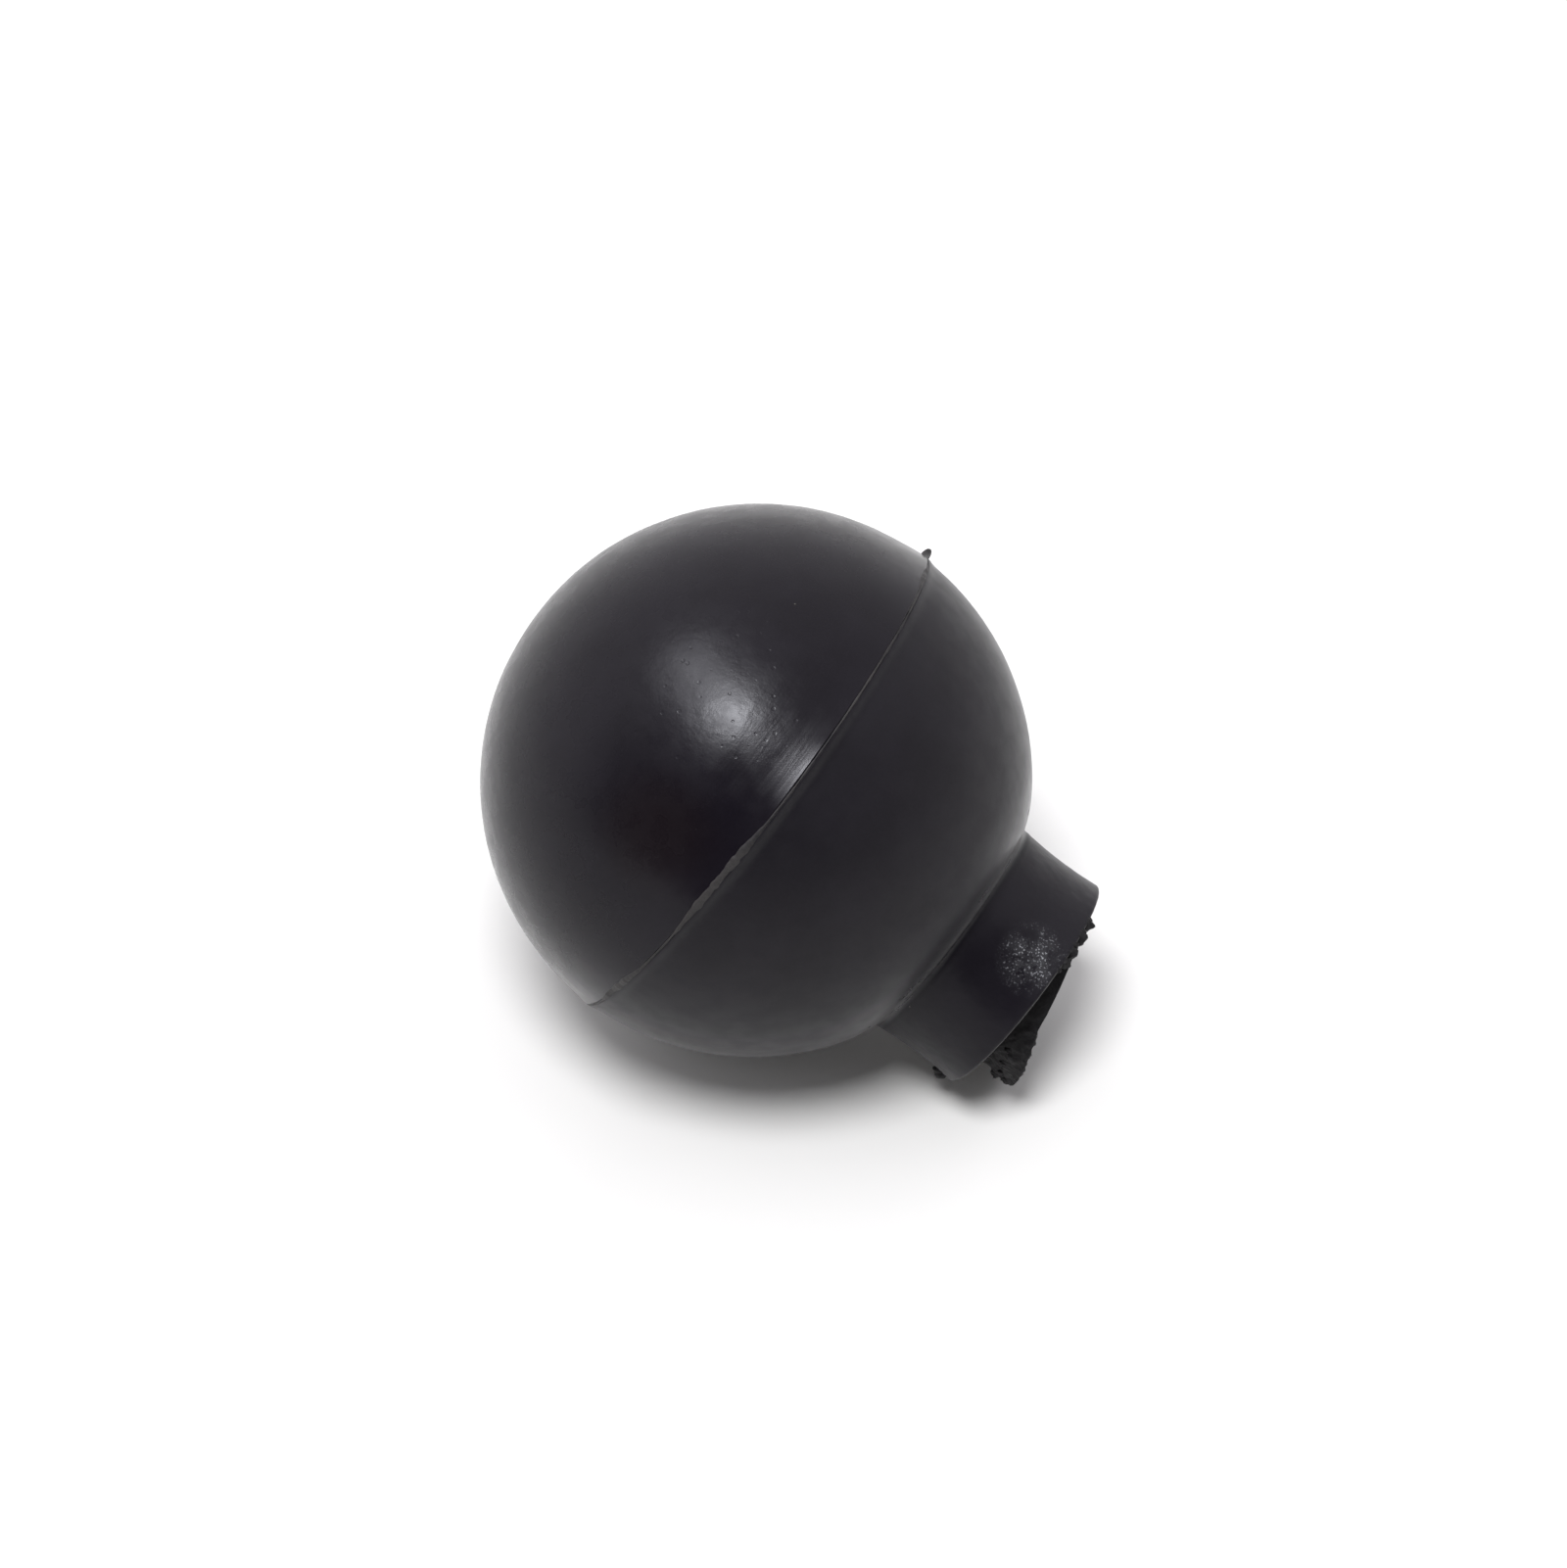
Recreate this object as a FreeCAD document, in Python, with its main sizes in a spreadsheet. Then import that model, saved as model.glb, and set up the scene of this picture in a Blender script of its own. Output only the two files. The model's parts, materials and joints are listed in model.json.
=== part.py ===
"""Case opening friction ball: a hollow rubber ball with a short plugged neck, lying at rest.

Lengths are millimetres. Every sub-part is drawn in the ball's own frame: Z is the neck axis, with Z = 0 in
the seam plane, the neck at positive Z and the pressing dome at negative Z. One common placement then lays
the ball down as it rests on a table, on its front half and on the rim of its neck: the neck points to +X
and dips below the horizontal, and the origin is the centre of the bounding box's underside.

An angle round the neck axis is counted from the side that lies on the table.
"""
import FreeCAD, Part
import math
import os

import Sketcher

Vector = FreeCAD.Vector
Rotation = FreeCAD.Rotation
Placement = FreeCAD.Placement

SIZES = {
    # the ball
    "ball_radius": 30.0,  # at the seam
    "rear_depth": 29.55,  # seam plane to the crown of the pressing dome
    "front_depth": 29.75,  # seam plane to where the front half's crown would be without its neck
    "wall": 3.2,
    # the cemented seam
    "seam_gap": 0.3,
    "bead_proud": 0.15,
    "fin_reach": 1.0,  # flash fin left standing on the seam
    "fin_half_width": 1.7,
    "fin_root": 0.4,  # how far the fin's base is sunk in the seam
    "fin_angle": 130.0,
    # the neck
    "neck_radius": 13.2,
    "neck_base": 25.5,  # inside the shell's wall
    "neck_foot": 27.6,  # where the straight neck leaves the front half's root fillet
    "rim_height": 36.85,  # seam plane to the neck's rim
    "rim_round": 0.4,
    "root_fillet": 0.9,
    "bore_radius": 9.2,
    # the plug, whose outer end is cut off askew and torn on one side
    "plug_base": 25.6,
    "cut_angle": -50.0,  # direction in which the torn side lies
    "cut_low": 0.5,  # height beyond the rim where the clean cut starts
    "cut_end": 2.5,  # height beyond the rim where the clean cut meets the tear
    "tear_place": 3.1,  # distance from the axis to the start of the tear
    "tear_low": 2.8,
    "tear_high": 5.0,
    "lump_radius": 0.9,  # rolled tip of the tear
    "lump_place": 8.9,
    "lump_height": 4.2,
}
WASTE = 3.0  # how far a cutting outline runs past the solid that it cuts

doc = FreeCAD.newDocument("friction_ball")


def make_sheet():
    sheet = doc.addObject("Spreadsheet::Sheet", "Sizes")
    for row, (name, value) in enumerate(SIZES.items(), start=1):
        sheet.set(f"A{row}", name)
        sheet.set(f"B{row}", str(value))
        sheet.setAlias(f"B{row}", name)
    doc.recompute()
    return sheet


sheet = make_sheet()


def value(expression):
    """What an expression on the sheet's names comes to."""
    return float(sheet.evalExpression(expression))


def on_sheet(expression):
    """The same expression as another object writes it, with each name led by the sheet's."""
    for name in sorted(SIZES, key=len, reverse=True):
        expression = expression.replace(name, "Sizes." + name)
    return expression


# ---------------------------------------------------------------- drawing


def new_body(label):
    body = doc.addObject("PartDesign::Body", label)
    body.Label = label
    return body


def origin_plane(body, role):
    return next(plane for plane in body.Origin.OriginFeatures if plane.Role == role)


def new_sketch(body, name, role="XZ_Plane"):
    sketch = body.newObject("Sketcher::SketchObject", name)
    sketch.AttachmentSupport = [(origin_plane(body, role), "")]
    sketch.MapMode = "FlatFace"
    return sketch


def swing_sketch(sketch, angle_name):
    """Turns a sketch on the XZ plane about the neck axis, which is the sketch's own Y."""
    sketch.AttachmentOffset = Placement(Vector(), Rotation(Vector(0, 1, 0), value(angle_name)))
    sketch.setExpression("AttachmentOffset.Rotation.Angle", on_sheet(angle_name))


def place_end(sketch, name, geometry, end, across, along):
    """Dimensions one end of a line or arc from the sketch's origin, each way an expression."""
    for kind, way, expression in (("DistanceX", "across", across), ("DistanceY", "along", along)):
        here = Sketcher.Constraint(kind, -1, 1, geometry, end, value(expression))
        index = sketch.addConstraint(here)
        sketch.renameConstraint(index, f"{name}_{way}")
        sketch.setExpression(f"Constraints.{name}_{way}", on_sheet(expression))


def draw_polygon(sketch, corners):
    """A closed outline through corners of the form name: (across, along)."""
    places = [Vector(value(across), value(along), 0) for across, along in corners.values()]
    count = len(places)
    for index in range(count):
        sketch.addGeometry(Part.LineSegment(places[index], places[(index + 1) % count]), False)
    for index in range(count):
        sketch.addConstraint(Sketcher.Constraint("Coincident", index, 2, (index + 1) % count, 1))
    for index, (name, (across, along)) in enumerate(corners.items()):
        place_end(sketch, name, index, 1, across, along)


def revolve(body, name, sketch):
    solid = body.newObject("PartDesign::Revolution", name)
    solid.Profile = sketch
    solid.ReferenceAxis = (sketch, ["V_Axis"])
    solid.Angle = 360
    doc.recompute()
    return solid


def cylinder(body, kind, name, radius, base, top):
    solid = body.newObject(f"PartDesign::{kind}Cylinder", name)
    solid.AttachmentSupport = [(origin_plane(body, "XY_Plane"), "")]
    solid.MapMode = "FlatFace"
    solid.setExpression("Radius", on_sheet(radius))
    solid.setExpression("Height", on_sheet(f"{top} - ({base})"))
    solid.setExpression("AttachmentOffset.Base.z", on_sheet(base))
    doc.recompute()
    return solid


def round_edge(body, name, radius, edge_radius, edge_height):
    """Fillets the circular edge of a given radius and height on the body's last feature."""
    base = body.Tip
    matches = [
        f"Edge{index}"
        for index, edge in enumerate(base.Shape.Edges, start=1)
        if isinstance(edge.Curve, Part.Circle)
        and abs(edge.Curve.Radius - edge_radius) < 0.01
        and abs(edge.Curve.Center.z - edge_height) < 0.01
    ]
    if len(matches) != 1:
        raise RuntimeError(f"{body.Label}: {len(matches)} edges for {name}")
    fillet = body.newObject("PartDesign::Fillet", name)
    fillet.Base = (base, matches)
    fillet.setExpression("Radius", on_sheet(radius))
    doc.recompute()
    return fillet


# ---------------------------------------------------------------- the half shells


def dome_centre(reach, edge, crown):
    """Height of the centre of the circle about the neck axis through the seam's edge and the crown."""
    return (reach**2 + edge**2 - crown**2) / (2 * (edge - crown))


def draw_dome_arc(sketch, name, side, reach, depth):
    """The arc from the seam's edge to the crown, centred on the neck axis. Returns (arc, edge end, crown end)."""
    edge, crown = side * value("seam_gap / 2"), side * value(depth)
    centre = dome_centre(value(reach), edge, crown)
    circle = Part.Circle(Vector(0, centre, 0), Vector(0, 0, 1), abs(crown - centre))
    angles = sorted((math.atan2(edge - centre, value(reach)), side * math.pi / 2))
    arc = sketch.addGeometry(Part.ArcOfCircle(circle, *angles), False)
    edge_end, crown_end = (1, 2) if side > 0 else (2, 1)
    sketch.addConstraint(Sketcher.Constraint("PointOnObject", arc, 3, -2))
    place_end(sketch, f"{name}_edge", arc, edge_end, reach, f"{side} * seam_gap / 2")
    place_end(sketch, f"{name}_crown", arc, crown_end, "0", f"{side} * ({depth})")
    return arc, edge_end, crown_end


def turn_dome(body, side, depth):
    """Half a hollow ball: side is 1 towards the neck and -1 away from it."""
    sketch = new_sketch(body, "DomeProfile")
    outer, edge_end, crown_end = draw_dome_arc(sketch, "outer", side, "ball_radius", depth)
    inner, _, _ = draw_dome_arc(sketch, "inner", side, "ball_radius - wall", f"{depth} - wall")
    for end in (edge_end, crown_end):
        ends = [sketch.getPoint(inner, end), sketch.getPoint(outer, end)]
        line = sketch.addGeometry(Part.LineSegment(*ends), False)
        sketch.addConstraint(Sketcher.Constraint("Coincident", line, 1, inner, end))
        sketch.addConstraint(Sketcher.Constraint("Coincident", line, 2, outer, end))
    return revolve(body, "Dome", sketch)


def make_rear_half_shell():
    body = new_body("rear_half_shell")
    turn_dome(body, -1, "rear_depth")
    return body


def front_centre():
    """Height of the front half's centre of curvature, just behind the seam plane."""
    return dome_centre(value("ball_radius"), value("seam_gap / 2"), value("front_depth"))


def front_radius():
    return value("front_depth") - front_centre()


def cut_bore(body, base, top):
    """Cuts the bore from end to end, and makes sure that it went through."""
    uncut = body.Shape.Volume
    cylinder(body, "Subtractive", "Bore", "bore_radius", f"{base} - {WASTE}", f"{top} + {WASTE}")
    bore = math.pi * value("bore_radius") ** 2 * value(f"{top} - {base}")
    if uncut - body.Shape.Volume < bore - 0.1:
        raise RuntimeError(f"{body.Label}: the bore doesn't go through")


def make_front_half_shell():
    """The front half up to the foot of its neck, with the fillet at the neck's root.

    The neck is drawn whole, which covers the dome's crown, and is cut off flat at its foot.
    """
    body = new_body("front_half_shell")
    turn_dome(body, 1, "front_depth")
    cylinder(body, "Additive", "NeckRoot", "neck_radius", "neck_base", "rim_height")
    neck_radius = value("neck_radius")
    root_height = front_centre() + math.sqrt(front_radius() ** 2 - neck_radius**2)
    round_edge(body, "RootFillet", "root_fillet", neck_radius, root_height)
    cylinder(body, "Subtractive", "NeckSeat", f"neck_radius + {WASTE}", "neck_foot", f"rim_height + {WASTE}")
    cut_bore(body, "neck_base", "neck_foot")
    return body


def make_neck_tube():
    """The straight neck. It is moulded in one with the front half, which it meets at its foot."""
    body = new_body("neck_tube")
    cylinder(body, "Additive", "Neck", "neck_radius", "neck_foot", "rim_height")
    round_edge(body, "RimRound", "rim_round", value("neck_radius"), value("rim_height"))
    cut_bore(body, "neck_foot", "rim_height")
    return body


# ---------------------------------------------------------------- the seam


def make_seam_bond_ring():
    """Cement between the half shells, squeezed out into a fine bead, with one fin of flash."""
    body = new_body("seam_bond_ring")
    sketch = new_sketch(body, "BondProfile")
    outline = {
        "inner_rear": ("ball_radius - wall", "-seam_gap / 2"),
        "outer_rear": ("ball_radius", "-seam_gap / 2"),
        "bead": ("ball_radius + bead_proud", "0"),
        "outer_front": ("ball_radius", "seam_gap / 2"),
        "inner_front": ("ball_radius - wall", "seam_gap / 2"),
    }
    draw_polygon(sketch, outline)
    revolve(body, "Bond", sketch)

    sketch = new_sketch(body, "FinOutline", "XY_Plane")
    sketch.AttachmentOffset = Placement(Vector(), Rotation(Vector(0, 0, 1), value("fin_angle")))
    sketch.setExpression("AttachmentOffset.Rotation.Angle", on_sheet("fin_angle"))
    outline = {
        "left": ("ball_radius - fin_root", "fin_half_width"),
        "tip": ("ball_radius + fin_reach", "0"),
        "right": ("ball_radius - fin_root", "-fin_half_width"),
    }
    draw_polygon(sketch, outline)
    fin = body.newObject("PartDesign::Pad", "Fin")
    fin.Profile = sketch
    fin.setExpression("Length", on_sheet("seam_gap"))
    fin.SideType = "Symmetric"
    doc.recompute()
    return body


# ---------------------------------------------------------------- the plug


def make_neck_plug():
    """A rubber plug bonded in the neck. Its end is cut askew and torn away on the lower side."""
    body = new_body("neck_plug")
    cylinder(body, "Additive", "Plug", "bore_radius", "plug_base", "rim_height + tear_high")
    uncut = body.Shape.Volume

    # The waste is an outline across the plug. The clean cut and the tear run straight on past its sides.
    sketch = new_sketch(body, "CutOutline")
    swing_sketch(sketch, "cut_angle")
    outline = {
        "cut_start": ("-bore_radius", "rim_height + cut_low"),
        "cut_end": ("tear_place", "rim_height + cut_end"),
        "tear_start": ("tear_place", "rim_height + tear_low"),
        "tear_end": ("bore_radius", "rim_height + tear_high"),
        "far_top": ("bore_radius", f"rim_height + tear_high + {WASTE}"),
        "near_top": (f"-bore_radius - {WASTE}", f"rim_height + tear_high + {WASTE}"),
        "near_low": (f"-bore_radius - {WASTE}", "rim_height + cut_low"),
    }
    draw_polygon(sketch, outline)
    cut = body.newObject("PartDesign::Pocket", "AskewCut")
    cut.Profile = sketch
    cut.setExpression("Length", on_sheet(f"2 * bore_radius + {WASTE}"))
    cut.SideType = "Symmetric"
    doc.recompute()
    removed = uncut - body.Shape.Volume
    least = math.pi * value("bore_radius") ** 2 * value("tear_high - tear_low") / 2
    if removed < least:
        raise RuntimeError(f"the askew cut took only {removed:.1f} cubic mm")

    lump = body.newObject("PartDesign::AdditiveSphere", "TornLump")
    lump.AttachmentSupport = [(origin_plane(body, "XY_Plane"), "")]
    lump.MapMode = "FlatFace"
    lump.setExpression("Radius", on_sheet("lump_radius"))
    lump.setExpression("AttachmentOffset.Base.x", on_sheet("lump_place * cos(cut_angle * 1deg)"))
    lump.setExpression("AttachmentOffset.Base.y", on_sheet("lump_place * sin(cut_angle * 1deg)"))
    lump.setExpression("AttachmentOffset.Base.z", on_sheet("rim_height + lump_height"))
    doc.recompute()
    return body


# ---------------------------------------------------------------- lying at rest


def dip_angle():
    """How far the neck dips, in degrees, when the front half and the neck's rounded rim both touch the table.

    The ball's centre of curvature is front_radius above the table and the centre of the rim's rounding is
    rim_round above it, so the drop between the two gives the angle.
    """
    rounding = value("rim_round")
    along = value("rim_height") - rounding - front_centre()
    across = value("neck_radius") - rounding
    drop = front_radius() - rounding
    return math.degrees(math.asin(drop / math.hypot(along, across)) - math.atan2(across, along))


def lay_down(bodies):
    """Turns the neck axis from +Z to +X and down by the dip, and stands the bounding box on the origin."""
    dip = dip_angle()
    turn = Rotation(Vector(0, 1, 0), 90 + dip)
    seam_height = front_radius() + front_centre() * math.sin(math.radians(dip))
    for body in bodies:
        body.Placement = Placement(Vector(0, 0, seam_height), turn)
    doc.recompute()
    box = Part.makeCompound([body.Shape for body in bodies]).optimalBoundingBox()
    for body in bodies:
        body.Placement = Placement(Vector(-box.Center.x, 0, seam_height), turn)
    doc.recompute()
    print(f"neck dips {dip:.3f} degrees, seam centre at x {-box.Center.x:.3f}, z {seam_height:.3f}")
    print(f"box {box.XLength:.3f} x {box.YLength:.3f} x {box.ZLength:.3f}, lowest {box.ZMin:.4f}")


def check_and_write(bodies):
    for thing in doc.Objects:
        if "Invalid" in thing.State or "Error" in thing.State:
            raise RuntimeError(f"{thing.Label}: {thing.State}")
    for body in bodies:
        if body.Shape.isNull() or not body.Shape.isValid() or len(body.Shape.Solids) != 1:
            raise RuntimeError(f"{body.Label}: not one valid solid")
    os.makedirs("parts", exist_ok=True)
    for body in bodies:
        body.Shape.exportStep(f"parts/{body.Label}.step")
        print(f"{body.Label}: {body.Shape.Volume:.1f} cubic mm")


sub_parts = [
    make_rear_half_shell(),
    make_seam_bond_ring(),
    make_front_half_shell(),
    make_neck_tube(),
    make_neck_plug(),
]
lay_down(sub_parts)
check_and_write(sub_parts)
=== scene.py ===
"""Looks for the case opening friction ball: a moulded black rubber ball with a seam and a plugged neck.

Every point is worked out in the ball's own terms, as in the CAD model: a height along the neck axis from the
seam plane, a radius from that axis, and an angle round it. The angle is 0 on the upper side as the ball lies,
90 degrees on the -Y side and 180 degrees on the side that rests on the table.
"""
import json
import math

import bpy
import numpy as np
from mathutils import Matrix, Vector, noise


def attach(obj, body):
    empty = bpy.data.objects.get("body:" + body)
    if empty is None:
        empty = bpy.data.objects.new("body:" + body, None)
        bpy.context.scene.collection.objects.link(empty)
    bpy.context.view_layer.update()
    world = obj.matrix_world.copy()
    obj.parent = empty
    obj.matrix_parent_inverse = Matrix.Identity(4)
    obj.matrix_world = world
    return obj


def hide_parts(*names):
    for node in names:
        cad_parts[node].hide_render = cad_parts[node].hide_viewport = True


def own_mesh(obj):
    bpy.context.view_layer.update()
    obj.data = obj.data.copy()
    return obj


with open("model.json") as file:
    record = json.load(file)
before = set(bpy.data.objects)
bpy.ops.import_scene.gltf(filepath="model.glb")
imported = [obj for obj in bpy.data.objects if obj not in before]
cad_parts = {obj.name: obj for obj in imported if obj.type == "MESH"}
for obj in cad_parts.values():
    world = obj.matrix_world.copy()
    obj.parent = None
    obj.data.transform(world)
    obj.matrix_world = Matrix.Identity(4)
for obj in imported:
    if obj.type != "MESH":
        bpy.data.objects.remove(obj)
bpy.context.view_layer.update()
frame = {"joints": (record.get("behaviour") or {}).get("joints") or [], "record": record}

MM = 0.001

# Sizes of the CAD model, in metres.
BALL_RADIUS = 30.0 * MM
REAR_DEPTH = 29.55 * MM
FRONT_DEPTH = 29.75 * MM
WALL = 3.2 * MM
SEAM_GAP = 0.3 * MM
NECK_RADIUS = 13.2 * MM
RIM_HEIGHT = 36.85 * MM
ROOT_FILLET = 0.9 * MM
BORE_RADIUS = 9.2 * MM
PLUG_BASE = 25.6 * MM

# ---------------------------------------------------------------- the ball's frame

PRESS = next(joint for joint in frame["joints"] if joint["name"] == "dome_press")
CROWN = next(m for m in frame["record"]["mounts"] if m["name"] == "pressing_crown")
AXIS = np.array(PRESS["axis"], float)
AXIS /= np.linalg.norm(AXIS)
UPPER = np.array([-AXIS[2], 0.0, AXIS[0]])
SIDE = np.array([0.0, -1.0, 0.0])
SEAM_CENTRE = np.array(CROWN["pos_m"], float) + REAR_DEPTH * AXIS


def place(height, radius, angle):
    """Points in the row frame from heights, radii and angles in radians, as an array of (..., 3)."""
    height, radius, angle = np.broadcast_arrays(height, radius, angle)
    round_way = np.cos(angle)[..., None] * UPPER + np.sin(angle)[..., None] * SIDE
    return SEAM_CENTRE + height[..., None] * AXIS + radius[..., None] * round_way


def fractal(points, scale, seed, octaves=3):
    """Smooth noise of about -1 to 1 at points in metres, whose largest bumps are scale metres across."""
    offset = Vector((seed * 17.3, seed * 7.9, seed * 31.1))
    flat = np.asarray(points, float).reshape(-1, 3) / scale
    found = [noise.fractal(Vector(p) + offset, 0.7, 2.1, octaves) for p in flat]
    return np.array(found).reshape(np.shape(points)[:-1])


def smooth_step(value, start, end):
    """0 up to start, 1 from end on, and smooth between them."""
    share = np.clip((value - start) / (end - start), 0, 1)
    return share * share * (3 - 2 * share)


def angle_gap(angle, centre_degrees):
    """Signed gap in radians from a centre to an angle, the short way round."""
    return (angle - math.radians(centre_degrees) + math.pi) % (2 * math.pi) - math.pi


# ---------------------------------------------------------------- mesh building


def add_piece(name, vertices, faces):
    mesh = bpy.data.meshes.new(name)
    mesh.from_pydata(vertices, [], faces)
    mesh.validate()
    mesh.update()
    mesh.shade_smooth()
    piece = bpy.data.objects.new(name, mesh)
    bpy.context.scene.collection.objects.link(piece)
    return piece


def grid_mesh(name, points, poles=None):
    """A mesh from points of (rings, segments, 3), joined round the segments.

    Without poles the last ring joins the first one. With two poles the first ring closes on one of them and
    the last ring on the other.
    """
    rings, segments = points.shape[:2]
    vertices = points.reshape(-1, 3)
    ring = np.arange(rings if poles is None else rings - 1)[:, None]
    segment = np.arange(segments)[None, :]
    above = (ring + 1) % rings
    after = (segment + 1) % segments
    corners = [
        ring * segments + segment,
        ring * segments + after,
        above * segments + after,
        above * segments + segment,
    ]
    faces = np.stack(corners, -1).reshape(-1, 4).tolist()
    if poles is not None:
        first_tip, last_tip = len(vertices), len(vertices) + 1
        vertices = np.vstack([vertices, np.array(poles)])
        last = (rings - 1) * segments
        neighbours = [(index, (index + 1) % segments) for index in range(segments)]
        faces += [[here, first_tip, beside] for here, beside in neighbours]
        faces += [[last + here, last + beside, last_tip] for here, beside in neighbours]
    return add_piece(name, vertices.tolist(), faces)


def profile_normals(profile):
    """Unit normals of (height, radius) points, outward where the profile runs up the outside."""
    along = np.gradient(profile, axis=0)
    normal = np.stack([-along[:, 1], along[:, 0]], -1)
    return normal / np.maximum(np.linalg.norm(normal, axis=1), 1e-12)[:, None]


def arc(centre_height, radius, start, end, count):
    """Profile points on a circle centred on the neck axis. Its angle is 0 in the widest plane."""
    turn = np.linspace(start, end, count)
    return np.stack([centre_height + radius * np.sin(turn), radius * np.cos(turn)], -1)


def dome_circle(edge_height, crown_height, reach):
    """(centre height, radius) of the circle through the seam's edge and the crown."""
    centre = (reach**2 + edge_height**2 - crown_height**2) / (2 * (edge_height - crown_height))
    return centre, abs(crown_height - centre)


def seam_face(edge_height, shares):
    """Profile points on a half's flat face at the seam, at shares of the wall's thickness."""
    return np.array([[edge_height, BALL_RADIUS - WALL * share] for share in shares])


SEGMENTS = 480
INSIDE_RINGS = 24
ANGLES = np.linspace(0, 2 * math.pi, SEGMENTS, endpoint=False)
AWAY = place(0, 1, ANGLES) - SEAM_CENTRE  # unit vectors away from the neck axis


def raised(points, directions, lift):
    """Points of (rings, segments, 3), lifted along each ring's own (height, radius) direction."""
    up, out = directions[:, 0][:, None, None], directions[:, 1][:, None, None]
    return points + lift[..., None] * (up * AXIS + out * AWAY[None])


# ---------------------------------------------------------------- rear dome

REAR_RINGS = 170
REAR_CROWDING = 0.3  # how much closer the rings lie near the seam

FLANK_WIDTH = 6.4 * MM  # the rear half runs straight on towards the seam over this width
FLANK_ANGLE = 42  # degrees round the axis, where the flank stands out most
FLANK_SPREAD = math.radians(36)
FLANK_LEAST = 0.28  # how much of it is left on the far side
FLANK_LIP = 0.13 * MM  # its raised edge at the seam
FLANK_LIP_WIDTH = 1.2 * MM
HOLLOW_DEPTH = 0.016 * MM  # a shallow hollow along the flank
HOLLOW_TO_SEAM = 3.0 * MM
HOLLOW_WIDTH = 0.9 * MM

# Unevenness of the moulding: height and size.
REAR_SWELL = (0.045 * MM, 11 * MM)
REAR_RIPPLE = (0.004 * MM, 2.6 * MM)
FRONT_SWELL = (0.03 * MM, 9 * MM)
NECK_RIPPLE = (0.014 * MM, 1.1 * MM)

RUB_DEPTH = 0.010 * MM
RUB_PITCH = 1.7 * MM
RUB_REACH = 10 * MM  # from the seam
RUB_TURNS = 2.6  # how often the rub lines change along their length


def flank_share(angle):
    """How fully the flank stands out, round the ball."""
    near = np.exp(-((angle_gap(angle, FLANK_ANGLE) / FLANK_SPREAD) ** 2))
    return FLANK_LEAST + (1 - FLANK_LEAST) * near


def flank_lift(to_seam, angle):
    """How far the flank stands above the round of the ball."""
    run = np.clip(FLANK_WIDTH - to_seam, 0, None)
    hollow = HOLLOW_DEPTH * np.exp(-(((to_seam - HOLLOW_TO_SEAM) / HOLLOW_WIDTH) ** 2))
    lip = FLANK_LIP * np.exp(-to_seam / FLANK_LIP_WIDTH)
    return flank_share(angle) * (run**2 / (2 * BALL_RADIUS) - hollow + lip)


def rub_lines(height, angle, pitch, seed):
    """Fine rub marks that run round the ball beside the seam, about -1 to 1."""
    height, angle = np.broadcast_arrays(height, angle)
    lines = np.stack([height / pitch, np.cos(angle) * RUB_TURNS, np.sin(angle) * RUB_TURNS], -1)
    return fractal(lines, 1.0, seed, 2)


def make_rear_dome():
    """The polished half, as a closed shell: crown, flank at the seam, seam face and inside."""
    edge = -SEAM_GAP / 2
    centre, radius = dome_circle(edge, -REAR_DEPTH, BALL_RADIUS)
    edge_turn = math.asin((edge - centre) / radius)
    share = np.linspace(0, 1, REAR_RINGS)[1:]
    crowded = (1 + REAR_CROWDING) * share - REAR_CROWDING * share**3
    turn = -math.pi / 2 + (edge_turn + math.pi / 2) * crowded
    outer = np.stack([centre + radius * np.sin(turn), radius * np.cos(turn)], -1)
    in_centre, in_radius = dome_circle(edge, -REAR_DEPTH + WALL, BALL_RADIUS - WALL)
    in_turn = math.asin((edge - in_centre) / in_radius)
    inner = arc(in_centre, in_radius, in_turn, -math.pi / 2, INSIDE_RINGS)[:-1]
    profile = np.vstack([outer, seam_face(edge, (0.25, 0.5, 0.75)), inner])
    count = len(outer)

    points = place(profile[:, 0][:, None], profile[:, 1][:, None], ANGLES[None, :])
    rest = points[:count]
    to_seam = (edge - outer[:, 0])[:, None]
    near_seam = np.exp(-((to_seam / RUB_REACH) ** 2))
    rubs = rub_lines(outer[:, 0][:, None], ANGLES[None, :], RUB_PITCH, 3)
    lift = flank_lift(to_seam, ANGLES[None, :])
    for seed, (height, size) in enumerate((REAR_SWELL, REAR_RIPPLE), start=1):
        lift = lift + height * fractal(rest, size, seed, 2)
    lift = lift + RUB_DEPTH * near_seam * rubs
    outward = np.stack([(outer[:, 0] - centre) / radius, outer[:, 1] / radius], -1)
    points[:count] = raised(rest, outward, lift)
    crown = SEAM_CENTRE - REAR_DEPTH * AXIS
    inside = SEAM_CENTRE - (REAR_DEPTH - WALL) * AXIS
    return grid_mesh("rear_dome", points, (crown, inside))


# ---------------------------------------------------------------- front half and neck

BALL_RINGS = 110
FILLET_RINGS = 9
NECK_RINGS = 44
CORNER_RINGS = 7
RIM_RINGS = 9
BORE_RINGS = 8
FRONT_CROWDING = 1.5  # above 1, the ball's rings lie closer near the seam

NECK_WAIST = 0.26 * MM
NECK_LIP = 0.045 * MM  # a fine ridge just above the root's fillet
NECK_LIP_SHARE = 0.02  # where it is and how wide, as shares of the neck's length
NECK_LIP_WIDTH = 0.022
RIM_ROUND = 0.3 * MM
ROOT_DIP = 0.6 * MM  # how far the ball sinks in at the neck's root, on one side
ROOT_DIP_REACH = 2.2 * MM  # out from the neck
ROOT_DIP_RISE = 1.0 * MM  # up the neck
ROOT_DIP_ANGLE = 40
STEP_FALL = 0.75 * MM  # how fast the step at the seam falls away on the front half
RIPPLE_FROM = 0.3 * MM  # the neck's ripple comes in between these heights above the fillet's centre
RIPPLE_TO = 1.5 * MM


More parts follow.
